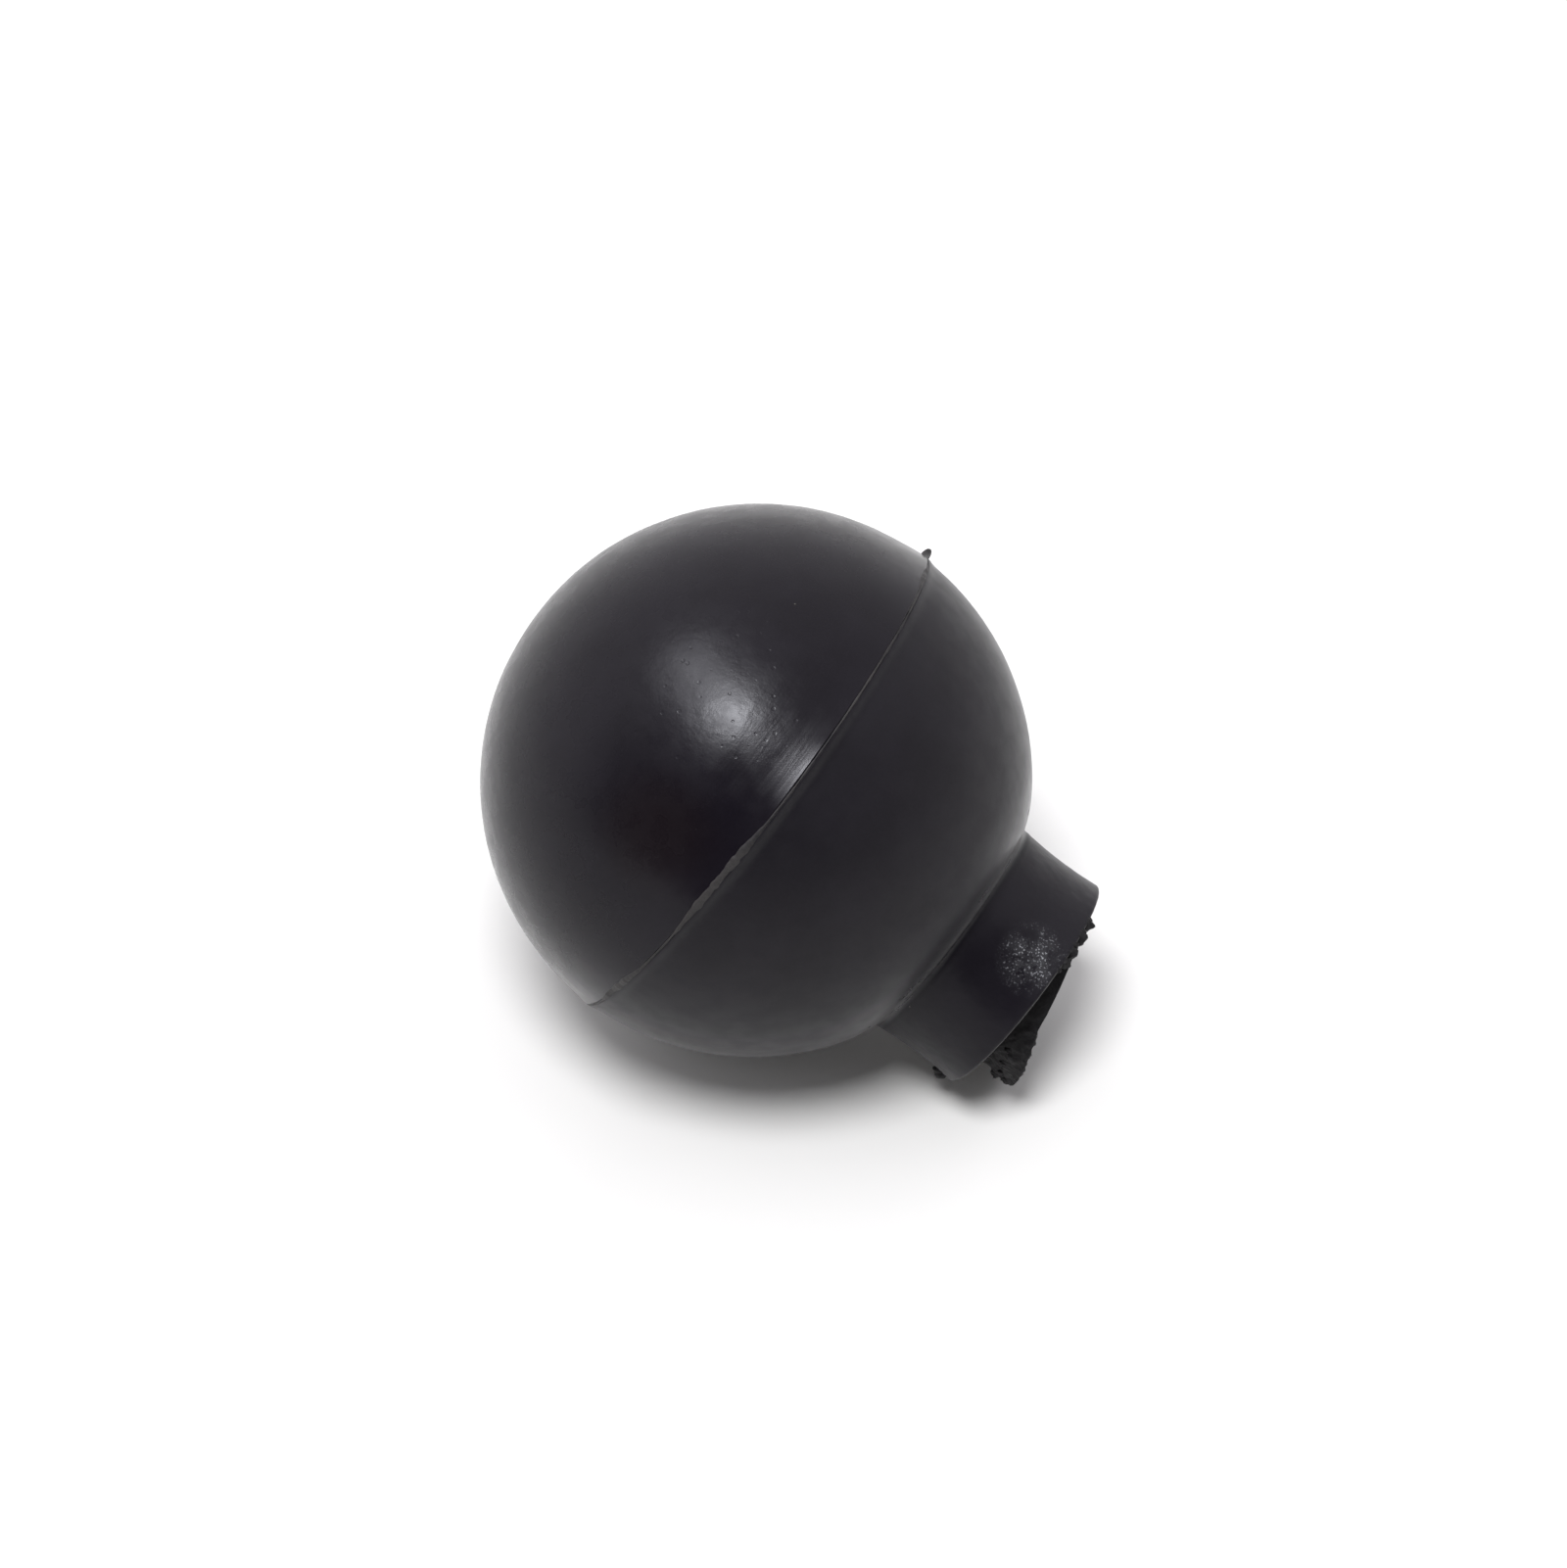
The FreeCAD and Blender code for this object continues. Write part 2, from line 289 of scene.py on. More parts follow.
def make_front_dome():
    """The matte half with its neck, as a closed shell with the bore through the neck."""
    edge = SEAM_GAP / 2
    centre, radius = dome_circle(edge, FRONT_DEPTH, BALL_RADIUS)
    edge_turn = math.asin((edge - centre) / radius)

    # The root's fillet touches the ball and the neck: its centre is a fillet's radius off each.
    fillet_across = NECK_RADIUS + ROOT_FILLET
    fillet_height = centre + math.sqrt((radius + ROOT_FILLET) ** 2 - fillet_across**2)
    touch_turn = math.atan2(fillet_height - centre, fillet_across)
    turn = edge_turn + (touch_turn - edge_turn) * np.linspace(0, 1, BALL_RINGS) ** FRONT_CROWDING
    ball = np.stack([centre + radius * np.sin(turn), radius * np.cos(turn)], -1)
    turn = np.linspace(touch_turn + math.pi, math.pi, FILLET_RINGS)[1:]
    fillet = np.stack(
        [fillet_height + ROOT_FILLET * np.sin(turn), fillet_across + ROOT_FILLET * np.cos(turn)], -1
    )

    neck_end = RIM_HEIGHT - RIM_ROUND
    share = np.linspace(0, 1, NECK_RINGS)[1:]
    waist = NECK_WAIST * 4 * share * (1 - share)
    lip = NECK_LIP * np.exp(-(((share - NECK_LIP_SHARE) / NECK_LIP_WIDTH) ** 2))
    neck_height = fillet_height + (neck_end - fillet_height) * share
    neck = np.stack([neck_height, NECK_RADIUS - waist + lip], -1)
    turn = np.linspace(0, math.pi / 2, CORNER_RINGS)[1:]
    corner_across = NECK_RADIUS - RIM_ROUND + RIM_ROUND * np.cos(turn)
    corner = np.stack([neck_end + RIM_ROUND * np.sin(turn), corner_across], -1)
    across = np.linspace(NECK_RADIUS - RIM_ROUND, BORE_RADIUS, RIM_RINGS)[1:]
    rim = np.stack([np.full_like(across, RIM_HEIGHT), across], -1)

    in_centre, in_radius = dome_circle(edge, FRONT_DEPTH - WALL, BALL_RADIUS - WALL)
    mouth_turn = math.acos(BORE_RADIUS / in_radius)
    mouth = in_centre + in_radius * math.sin(mouth_turn)
    down = np.linspace(RIM_HEIGHT, mouth, BORE_RINGS)[1:-1]
    bore = np.stack([down, np.full_like(down, BORE_RADIUS)], -1)
    in_turn = math.asin((edge - in_centre) / in_radius)
    inner = arc(in_centre, in_radius, mouth_turn, in_turn, INSIDE_RINGS)
    outside = [ball, fillet, neck, corner, rim]
    profile = np.vstack([*outside, bore, inner, seam_face(edge, (0.75, 0.5, 0.25))])
    shown = sum(len(part) for part in outside)

    height, ring_radius = profile[:, 0][:, None], profile[:, 1][:, None]
    below_neck = np.arange(len(profile)) < len(ball) + len(fillet)
    out_from_root = np.where(below_neck, profile[:, 1] - NECK_RADIUS, 0)
    up_from_root = np.where(below_neck, 0, profile[:, 0] - fillet_height)
    near_root = np.exp(-((out_from_root / ROOT_DIP_REACH) ** 2) - (up_from_root / ROOT_DIP_RISE) ** 2)
    near_root[shown:] = 0
    facing = 0.5 + 0.5 * np.cos(angle_gap(ANGLES, ROOT_DIP_ANGLE))
    height = height - ROOT_DIP * near_root[:, None] * facing[None, :]
    points = place(height, ring_radius, ANGLES[None, :])

    rest = points[:shown]
    shown_height = profile[:shown, 0][:, None]
    on_neck = smooth_step(shown_height, fillet_height + RIPPLE_FROM, fillet_height + RIPPLE_TO)
    fall = np.exp(-(((shown_height - edge) / STEP_FALL) ** 2))
    lift = flank_lift(0.0, ANGLES[None, :]) * fall
    lift = lift + FRONT_SWELL[0] * fractal(rest, FRONT_SWELL[1], 4, 2)
    lift = lift + on_neck * NECK_RIPPLE[0] * fractal(rest, NECK_RIPPLE[1], 5, 2)
    points[:shown] = raised(rest, profile_normals(profile)[:shown], lift)
    return grid_mesh("front_dome", points)


# ---------------------------------------------------------------- seam

BEAD_SEGMENTS = 1500
BEAD_FOOT = 0.06 * MM  # how far the bead's edges lie under the surface
BEAD_LEAST = 0.02 * MM
BEAD_PROFILE_POINTS = 13
BEAD_LUMP = 1.1 * MM  # size of the lumps on thick parts
BEAD_WAVE = 2.0 * MM
BEAD_STRAY = 7 * MM

# The bead's sizes in mm: plain, how much that wanders, and what a thick part adds, evenly and in lumps.
BEAD_PROUD = (0.030, 0.028, 0.05, 0.07)
BEAD_HALF_WIDTH = (0.12, 0.05, 0.30, 0.14)
BEAD_WANDER = 0.03  # how far the bead's middle strays along the axis, in mm
THICK_SHIFT = 0.20  # and how far a thick part lies towards the rear

# Thick parts: angle and half length in degrees, and how thick as a share of the thickest.
THICK_PARTS = ((60, 13, 1.0), (100, 9, 0.8), (-28, 5, 0.6))

FIN_ANGLE = -50.0
FIN_HEIGHT = 0.95 * MM
FIN_LENGTH = 0.95 * MM
FIN_SHARPNESS = 1.25
FIN_SPREAD = 0.42  # how much wider the bead is under the fin, as a share of the fin's height


def make_seam_bead():
    """The cement's bead, uneven along its length, with one fin of flash."""
    angle = np.linspace(0, 2 * math.pi, BEAD_SEGMENTS, endpoint=False)
    line = np.stack([np.cos(angle), np.sin(angle), np.zeros_like(angle)], -1) * BALL_RADIUS
    thick = np.zeros_like(angle)
    for centre, half_length, most in THICK_PARTS:
        part = np.exp(-((angle_gap(angle, centre) / math.radians(half_length)) ** 4))
        thick = np.maximum(thick, most * part)
    lumps = fractal(line, BEAD_LUMP, 12, 2)

    def wandering(sizes, seed):
        plain, swing, more, lumpy = sizes
        return (plain + swing * fractal(line, BEAD_WAVE, seed, 3) + thick * (more + lumpy * lumps)) * MM

    proud = wandering(BEAD_PROUD, 6)
    middle = (BEAD_WANDER * fractal(line, BEAD_STRAY, 8, 2) - THICK_SHIFT * thick) * MM
    gap = np.abs(angle_gap(angle, FIN_ANGLE)) * BALL_RADIUS
    fin = FIN_HEIGHT * np.exp(-((gap / FIN_LENGTH) ** FIN_SHARPNESS))
    half_width = wandering(BEAD_HALF_WIDTH, 7) + FIN_SPREAD * fin
    step = flank_lift(0.0, angle)

    turn = np.linspace(0, math.pi, BEAD_PROFILE_POINTS)[:, None]
    height = middle[None, :] - half_width[None, :] * np.cos(turn)
    radius = BALL_RADIUS - BEAD_FOOT + step[None, :]
    radius = radius + (np.maximum(proud, BEAD_LEAST) + BEAD_FOOT + fin)[None, :] * np.sin(turn)
    root_height = np.array([[0.5], [-0.5]]) * SEAM_GAP * np.ones((1, len(angle)))
    root_radius = np.full((2, len(angle)), BALL_RADIUS - WALL)
    points = place(np.vstack([height, root_height]), np.vstack([radius, root_radius]), angle[None, :])
    return grid_mesh("seam_bead", points)


# ---------------------------------------------------------------- plug

PLUG_SEGMENTS = 560
PLUG_SIDE_SHARES = np.concatenate([[0.0, 0.3, 0.55], np.linspace(0.66, 1.0, 50)])
PLUG_END_SHARES = np.linspace(1.0, 0.0, 90)[1:-1]

# The plug's end rises across the bore as a clean cut up to TEAR_PLACE and as a tear beyond it. Each low and
# high value is a height beyond the rim.
TORN_ANGLE = 130.0  # round the axis, where the torn end stands furthest out
CUT_LOW = 0.5 * MM
CUT_HIGH = 2.8 * MM
TEAR_PLACE = 3.1 * MM
TEAR_EDGE = 0.12 * MM
TEAR_LOW = 2.8 * MM
TEAR_HIGH = 5.5 * MM

SIDE_LUMP = 1.2 * MM  # size of the roughness
END_LUMP = 0.9 * MM
CUT_ROUGHNESS = 0.06 * MM
SIDE_TEAR_ROUGHNESS = 0.11 * MM  # added to the cut's where the plug is torn
END_TEAR_ROUGHNESS = 0.22 * MM
TEAR_BULGE = 0.09  # how far the torn side leans out, per metre beyond the rim
ROUGH_FROM_RIM = 0.5 * MM


def cut_height(across):
    """Height beyond the rim of the plug's end, and how torn it is, by distance towards its torn side."""
    clean_share = (across + BORE_RADIUS) / (TEAR_PLACE + BORE_RADIUS)
    torn_share = (across - TEAR_PLACE) / (BORE_RADIUS - TEAR_PLACE)
    clean = CUT_LOW + (CUT_HIGH - CUT_LOW) * clean_share
    torn = TEAR_LOW + (TEAR_HIGH - TEAR_LOW) * torn_share
    on_tear = smooth_step(across, TEAR_PLACE - TEAR_EDGE, TEAR_PLACE + TEAR_EDGE)
    return clean * (1 - on_tear) + torn * on_tear, on_tear


def make_plug():
    """The plug: a stub in the bore whose end is half cut and half torn."""
    angle = np.linspace(0, 2 * math.pi, PLUG_SEGMENTS, endpoint=False)
    toward = np.cos(angle - math.radians(TORN_ANGLE))
    rings = []
    for share in PLUG_SIDE_SHARES:
        top, on_tear = cut_height(BORE_RADIUS * toward)
        height = PLUG_BASE + (RIM_HEIGHT + top - PLUG_BASE) * share
        beyond = np.clip(height - RIM_HEIGHT, 0, None)
        points = place(height, np.full_like(angle, BORE_RADIUS), angle)
        rough = fractal(points, SIDE_LUMP, 9, 4) * (CUT_ROUGHNESS + SIDE_TEAR_ROUGHNESS * on_tear)
        bulge = TEAR_BULGE * beyond * on_tear + rough * np.clip(beyond / ROUGH_FROM_RIM, 0, 1)
        rings.append(place(height, BORE_RADIUS + bulge, angle))
    for share in PLUG_END_SHARES:
        top, on_tear = cut_height(BORE_RADIUS * share * toward)
        points = place(RIM_HEIGHT + top, np.full_like(angle, BORE_RADIUS * share), angle)
        rough = fractal(points, END_LUMP, 10, 4) * (CUT_ROUGHNESS + END_TEAR_ROUGHNESS * on_tear)
        rings.append(place(RIM_HEIGHT + top + rough, BORE_RADIUS * share, angle))
    top, _ = cut_height(np.array(0.0))
    end = SEAM_CENTRE + (RIM_HEIGHT + float(top)) * AXIS
    base = SEAM_CENTRE + PLUG_BASE * AXIS
    return grid_mesh("plug_stub", np.stack(rings), (base, end))


# ---------------------------------------------------------------- crumbs

# Crumbs of torn rubber, along the rim, under the rim and on the plug's torn end: height, radius, angle in
# degrees and half size. Lengths are in mm.
CRUMBS = (
    (36.76, 12.7, -9.0, 0.44),
    (36.85, 12.5, -6.3, 0.84),
    (36.70, 11.9, -3.4, 0.46),
    (36.76, 12.7, 0.4, 0.54),
    (36.84, 12.4, 3.2, 0.88),
    (36.74, 12.7, 8.8, 0.56),
    (36.82, 12.4, 12.6, 0.90),
    (36.70, 11.8, 15.4, 0.50),
    (36.84, 12.5, 19.8, 0.78),
    (36.74, 12.8, 24.6, 0.42),
    (35.35, 13.05, 131.0, 0.85),
    (34.85, 13.0, 127.0, 0.60),
    (35.80, 13.0, 137.0, 0.56),
    (41.20, 9.3, 124.0, 0.66),
    (41.60, 9.2, 132.0, 0.86),
    (41.30, 9.2, 141.0, 0.66),
    (41.50, 8.1, 120.0, 0.72),
    (40.40, 9.5, 134.0, 0.70),
    (40.30, 9.4, 115.0, 0.50),
    (39.40, 9.3, 101.0, 0.42),
    (38.60, 9.4, 86.0, 0.36),
)
CRUMB_SHAPE = (1.0, 0.8, 0.9)  # half sizes along x, y and z
CRUMB_ROUGHNESS = 0.38
CRUMB_LUMP = 0.8  # size of the lumps on a crumb, as a share of its half size
CRUMB_TURNS = 20
CRUMB_TILTS = 12
CRUMB_FIRST_SEED = 20


def unit_ball():
    """Points of (tilts, turns, 3) on a ball of radius 1. The first and last rows lie on its poles."""
    turns = np.linspace(0, 2 * math.pi, CRUMB_TURNS, endpoint=False)[None, :]
    tilts = np.linspace(-math.pi / 2, math.pi / 2, CRUMB_TILTS)[:, None]
    up = np.sin(tilts) * np.ones_like(turns)
    return np.stack([np.cos(tilts) * np.cos(turns), np.cos(tilts) * np.sin(turns), up], -1)


def make_crumbs():
    ball = unit_ball()
    count, wide = CRUMB_TILTS - 2, CRUMB_TURNS
    vertices, faces = [], []
    for index, (height, radius, degrees, half) in enumerate(CRUMBS):
        rough = 1 + CRUMB_ROUGHNESS * fractal(ball, CRUMB_LUMP, CRUMB_FIRST_SEED + index, 3)
        rings = ball[1:-1] * rough[1:-1, :, None]
        poles = ball[[0, -1], 0] * rough[[0, -1], 0][:, None]
        half_sizes = np.array([half * share * MM for share in CRUMB_SHAPE])
        centre = place(height * MM, radius * MM, math.radians(degrees))
        crumb = np.vstack([rings.reshape(-1, 3), poles]) * half_sizes + centre
        start = len(vertices)
        vertices.extend(crumb.tolist())
        neighbours = [(here, (here + 1) % wide) for here in range(wide)]
        for ring in range(count - 1):
            low, high = start + ring * wide, start + (ring + 1) * wide
            faces += [[low + here, low + after, high + after, high + here] for here, after in neighbours]
        top = start + (count - 1) * wide
        low_pole, high_pole = start + count * wide, start + count * wide + 1
        for here, after in neighbours:
            faces.append([start + after, start + here, low_pole])
            faces.append([top + here, top + after, high_pole])
    return add_piece("torn_crumbs", vertices, faces)


# ---------------------------------------------------------------- materials


class Nodes:
    """Short calls for the few shader nodes that the materials and the room use."""

    def __init__(self, tree, coordinates):
        self.tree = tree
        self.coord = tree.nodes.new("ShaderNodeTexCoord").outputs[coordinates]

    def link(self, source, target):
        self.tree.links.new(source, target)

    def noise(self, size, detail=3.0, roughness=0.5, vector=None):
        """Noise whose bumps are size units of the vector across. The plain coordinates are in metres."""
        node = self.tree.nodes.new("ShaderNodeTexNoise")
        node.inputs["Scale"].default_value = 1 / size
        node.inputs["Detail"].default_value = detail
        node.inputs["Roughness"].default_value = roughness
        self.link(self.coord if vector is None else vector, node.inputs["Vector"])
        return node.outputs["Fac"]

    def ramp(self, source, low, high, start=0.0, end=1.0):
        """A smooth map of source from low..high to start..end."""
        node = self.tree.nodes.new("ShaderNodeMapRange")
        node.interpolation_type = "SMOOTHSTEP"
        node.inputs["From Min"].default_value = low
        node.inputs["From Max"].default_value = high
        node.inputs["To Min"].default_value = start
        node.inputs["To Max"].default_value = end
        self.link(source, node.inputs["Value"])
        return node.outputs["Result"]

    def mix(self, factor, first, second):
        """A colour between two, each a colour or a socket."""
        node = self.tree.nodes.new("ShaderNodeMix")
        node.data_type = "RGBA"
        self.link(factor, node.inputs["Factor"])
        for value, socket in ((first, node.inputs[6]), (second, node.inputs[7])):
            if isinstance(value, tuple):
                socket.default_value = (*value, 1.0)
            else:
                self.link(value, socket)
        return node.outputs[2]

    def maths(self, operation, first, second):
        node = self.tree.nodes.new("ShaderNodeMath")
        node.operation = operation
        for value, socket in zip((first, second), node.inputs):
            if isinstance(value, (int, float)):
                socket.default_value = value
            else:
                self.link(value, socket)
        return node.outputs["Value"]

    def times(self, first, second):
        return self.maths("MULTIPLY", first, second)

    def distance(self, point):
        """Distance in metres from a point in the row frame."""
        node = self.tree.nodes.new("ShaderNodeVectorMath")
        node.operation = "DISTANCE"
        self.link(self.coord, node.inputs[0])
        node.inputs[1].default_value = tuple(point)
        return node.outputs["Value"]

    def along(self, direction):
        """How far the coordinates reach along a unit direction."""
        node = self.tree.nodes.new("ShaderNodeVectorMath")
        node.operation = "DOT_PRODUCT"
        self.link(self.coord, node.inputs[0])
        node.inputs[1].default_value = tuple(direction)
        return node.outputs["Value"]

    def bump(self, height, depth, below=None):
        """Normals that height bends by depth metres, on top of the normals below."""
        node = self.tree.nodes.new("ShaderNodeBump")
        node.inputs["Strength"].default_value = 1.0
        node.inputs["Distance"].default_value = depth
        self.link(height, node.inputs["Height"])
        if below is not None:
            self.link(below, node.inputs["Normal"])
        return node.outputs["Normal"]


def new_material(name):
    """A material, its nodes and its shader."""
    material = bpy.data.materials.new(name)
    material.use_nodes = True
    return material, Nodes(material.node_tree, "Object"), material.node_tree.nodes["Principled BSDF"]


SPECK_CORE = 0.6  # a speck is full within this share of its radius


def specks(nodes, spacing, radius):
    """1 on sparse tiny specks, else 0."""
    cells = nodes.tree.nodes.new("ShaderNodeTexVoronoi")
    cells.inputs["Scale"].default_value = 1 / spacing
    nodes.link(nodes.coord, cells.inputs["Vector"])
    return nodes.ramp(cells.outputs["Distance"], radius / spacing, SPECK_CORE * radius / spacing)


def patch(nodes, height, radius, degrees, outer, inner):
    """1 nearer than inner to a place on the ball, fading to 0 at outer. Lengths are in metres."""
    return nodes.ramp(nodes.distance(place(height, radius, math.radians(degrees))), outer, inner)


def along_neck(nodes, start, end):
    """Height along the neck axis, mapped smoothly from start..end to 0..1."""
    zero = float(np.dot(SEAM_CENTRE, AXIS))
    return nodes.ramp(nodes.along(AXIS), zero + start, zero + end)


def round_lines(nodes, pitch, length):
    """Noise drawn out round the neck axis: pitch across the lines and length along them."""
    turned = nodes.tree.nodes.new("ShaderNodeMapping")
    turned.vector_type = "TEXTURE"
    turned.inputs["Rotation"].default_value = Vector(AXIS).to_track_quat("X", "Z").to_euler()
    turned.inputs["Scale"].default_value = (pitch, length, length)
    nodes.link(nodes.coord, turned.inputs["Vector"])
    return nodes.noise(1.0, vector=turned.outputs["Vector"])


DUST_COLOUR = (0.11, 0.105, 0.09)
DUST_SPACING = 4.3 * MM
DUST_RADIUS = 0.085 * MM
MOTTLE_SHARE = 0.7  # how much of the tone comes from broad mottling. The rest is fine.
COARSE_GRAIN = 1.1 * MM
COARSE_DEPTH = 0.9  # as a share of the fine grain's
SHEEN_ROUGHNESS = 0.3


def rubber(name, dark, light, roughness, grain, grain_depth, specular, sheen):
    """Black moulded rubber: mottled tone and polish, fine grain and sparse pale dust.
    """
    material, nodes, shader = new_material(name)
    mottle = nodes.times(nodes.ramp(nodes.noise(9 * MM, 2, 0.5), 0.34, 0.68), MOTTLE_SHARE)
    fine = nodes.times(nodes.ramp(nodes.noise(0.26 * MM, 2, 0.6), 0.35, 0.65), 1 - MOTTLE_SHARE)
    colour = nodes.mix(nodes.maths("ADD", mottle, fine), dark, light)
    colour = nodes.mix(specks(nodes, DUST_SPACING, DUST_RADIUS), colour, DUST_COLOUR)
    rough = nodes.ramp(nodes.noise(2.2 * MM, 2, 0.5), 0.32, 0.68, *roughness)
    normal = nodes.bump(nodes.noise(COARSE_GRAIN, 3, 0.55), grain_depth * COARSE_DEPTH)
    normal = nodes.bump(nodes.noise(grain, 3, 0.6), grain_depth, normal)
    shader.inputs["Specular IOR Level"].default_value = specular
    shader.inputs["Sheen Weight"].default_value = sheen
    shader.inputs["Sheen Roughness"].default_value = SHEEN_ROUGHNESS
    return material, nodes, colour, rough, normal


def finish(material, nodes, colour, rough, normal):
    shader = material.node_tree.nodes["Principled BSDF"]
    nodes.link(colour, shader.inputs["Base Color"])
    nodes.link(rough, shader.inputs["Roughness"])
    nodes.link(normal, shader.inputs["Normal"])
    return material


def rear_rubber():
    """The polished half, with rub lines beside the seam and a faint brown tint low on its face that is a
    painted reflection.
    """
    material, nodes, colour, rough, normal = rubber(
        "rear_rubber",
        dark=(0.0058, 0.0046, 0.0074),
        light=(0.0084, 0.0070, 0.0106),
        roughness=(0.25, 0.31),
        grain=0.17 * MM,
        grain_depth=0.0040 * MM,
        specular=0.17,
        sheen=0.12,
    )
    # Painted reflection: a faint brown tint low on the polished face, where the rubber mirrors a dark reddish
    # spot.
    painted_reflection = patch(nodes, -8 * MM, 28 * MM, 62, outer=9 * MM, inner=2 * MM)
    painted_reflection_colour, painted_reflection_share = (0.0085, 0.0056, 0.0066), 0.6
    colour = nodes.mix(nodes.times(painted_reflection, painted_reflection_share), colour, painted_reflection_colour)

    near_seam = along_neck(nodes, -15 * MM, -4 * MM)
    lines = nodes.times(round_lines(nodes, 0.42 * MM, 7 * MM), near_seam)
    line_depth = 0.010 * MM
    normal = nodes.bump(lines, line_depth, normal)
    rubbed = along_neck(nodes, -8 * MM, -2.5 * MM)
    rubbed_polish = 0.055
    rough = nodes.maths("SUBTRACT", rough, nodes.times(rubbed, rubbed_polish))

    handled = patch(nodes, -13 * MM, 26 * MM, 25, outer=15 * MM, inner=6 * MM)
    waves = nodes.times(nodes.noise(1.5 * MM, 3, 0.6), handled)
    wave_depth, pit_depth = 0.032 * MM, 0.013 * MM
    normal = nodes.bump(waves, wave_depth, normal)
    pits = nodes.times(specks(nodes, spacing=1.5 * MM, radius=0.24 * MM), handled)
    normal = nodes.bump(nodes.times(pits, -1.0), pit_depth, normal)
    return finish(material, nodes, colour, rough, normal)


def front_rubber():
    """The matte half: a scuffed patch on the neck, lightened and strewn with bright glints as a painted
    highlight, and a pale line round the rim that is a painted highlight.
    """
    material, nodes, colour, rough, normal = rubber(
        "front_rubber",
        dark=(0.0058, 0.0048, 0.0074),
        light=(0.0088, 0.0076, 0.0110),
        roughness=(0.47, 0.53),
        grain=0.15 * MM,
        grain_depth=0.0065 * MM,
        specular=0.20,
        sheen=0.24,
    )
    # Scuffs on the neck that also carry a painted highlight: the bump is real roughness, but the lighter
    # colour and bright glint specks paint the lamp's highlight and sparkle where it falls.
    scuffs_and_highlight = patch(nodes, 33.9 * MM, NECK_RADIUS, 28, outer=4.6 * MM, inner=0.8 * MM)
    scuffs_and_highlight = nodes.times(scuffs_and_highlight, nodes.ramp(nodes.noise(1.9 * MM, 4, 0.7), 0.38, 0.60))
    painted_glints = nodes.times(scuffs_and_highlight, nodes.ramp(nodes.noise(0.22 * MM, 2, 0.6), 0.56, 0.70))
    highlight_colour, highlight_share = (0.042, 0.042, 0.046), 0.6
    painted_glint_colour = (0.36, 0.37, 0.40)
    colour = nodes.mix(nodes.times(scuffs_and_highlight, highlight_share), colour, highlight_colour)
    colour = nodes.mix(painted_glints, colour, painted_glint_colour)

    # A pale line painted round the rim's edge: a painted highlight on its corner.
    rim = along_neck(nodes, RIM_HEIGHT - 0.26 * MM, RIM_HEIGHT - 0.08 * MM)
    rim_highlight = nodes.times(rim, nodes.ramp(nodes.noise(1.3 * MM, 3, 0.6), 0.30, 0.62, 0.25, 1.0))
    rim_highlight_colour = (0.020, 0.019, 0.020)
    colour = nodes.mix(rim_highlight, colour, rim_highlight_colour)

    handled = patch(nodes, 31.6 * MM, NECK_RADIUS, 42, outer=7.5 * MM, inner=2.5 * MM)
    above_ball = along_neck(nodes, 20 * MM, 25 * MM)
    below_neck = along_neck(nodes, 27.0 * MM, 26.3 * MM)
    polished = nodes.maths("MAXIMUM", handled, nodes.times(above_ball, below_neck))
    polish = 0.20
    rough = nodes.maths("SUBTRACT", rough, nodes.times(polished, polish))
    scuff_depth = 0.06 * MM
    normal = nodes.bump(nodes.times(scuffs_and_highlight, nodes.noise(0.3 * MM, 3, 0.6)), scuff_depth, normal)
    return finish(material, nodes, colour, rough, normal)


def seam_rubber():
    """The cement's bead, paler over one stretch of it round 64 degrees."""
    material, nodes, colour, rough, normal = rubber(
        "seam_rubber",
        dark=(0.007, 0.006, 0.008),
        light=(0.042, 0.039, 0.038),
        roughness=(0.48, 0.62),
        grain=0.13 * MM,
        grain_depth=0.008 * MM,
        specular=0.25,
        sheen=0.05,
    )
    pale = patch(nodes, 0, BALL_RADIUS, 64, outer=10 * MM, inner=5 * MM)
    pale_colour, pale_share = (0.045, 0.042, 0.042), 0.4
    colour = nodes.mix(nodes.times(pale, pale_share), colour, pale_colour)
    return finish(material, nodes, colour, rough, normal)


def torn_rubber():
    """The plug and the crumbs."""
    return finish(
        *rubber(
            "torn_rubber",
            dark=(0.0050, 0.0046, 0.0054),
            light=(0.0150, 0.0142, 0.0152),
            roughness=(0.52, 0.72),
            grain=0.20 * MM,
            grain_depth=0.022 * MM,
            specular=0.18,
            sheen=0.03,
        )
    )


# ---------------------------------------------------------------- camera and floor

VIEW_AZIMUTH = math.radians(23.6)
VIEW_ELEVATION = math.radians(46.0)
VIEW_DISTANCE = 0.8035
VIEW_ANGLE = math.radians(12.0)
AIM_BEHIND_SEAM = 0.65 * MM
AIM_RIGHT = 3.53 * MM
AIM_DOWN = 0.85 * MM

BACK = Vector(
    (
        math.sin(VIEW_AZIMUTH) * math.cos(VIEW_ELEVATION),
        -math.cos(VIEW_AZIMUTH) * math.cos(VIEW_ELEVATION),
        math.sin(VIEW_ELEVATION),
    )
)
VIEW_RIGHT = Vector((math.cos(VIEW_AZIMUTH), math.sin(VIEW_AZIMUTH), 0.0))
VIEW_UP = BACK.cross(VIEW_RIGHT)

FLOOR_WIDTH = 6.0
FLOOR_DARK = (0.71, 0.708, 0.705)
FLOOR_LIGHT = (0.73, 0.728, 0.725)
FLOOR_ROUGHNESS = 0.9
FLOOR_SPECULAR = 0.1
# The floor glows faintly though it is no lamp, which lightens its shadows: painted light.
FLOOR_GLOW_COLOUR = (1.0, 0.97, 0.95, 1.0)
FLOOR_GLOW = 0.03


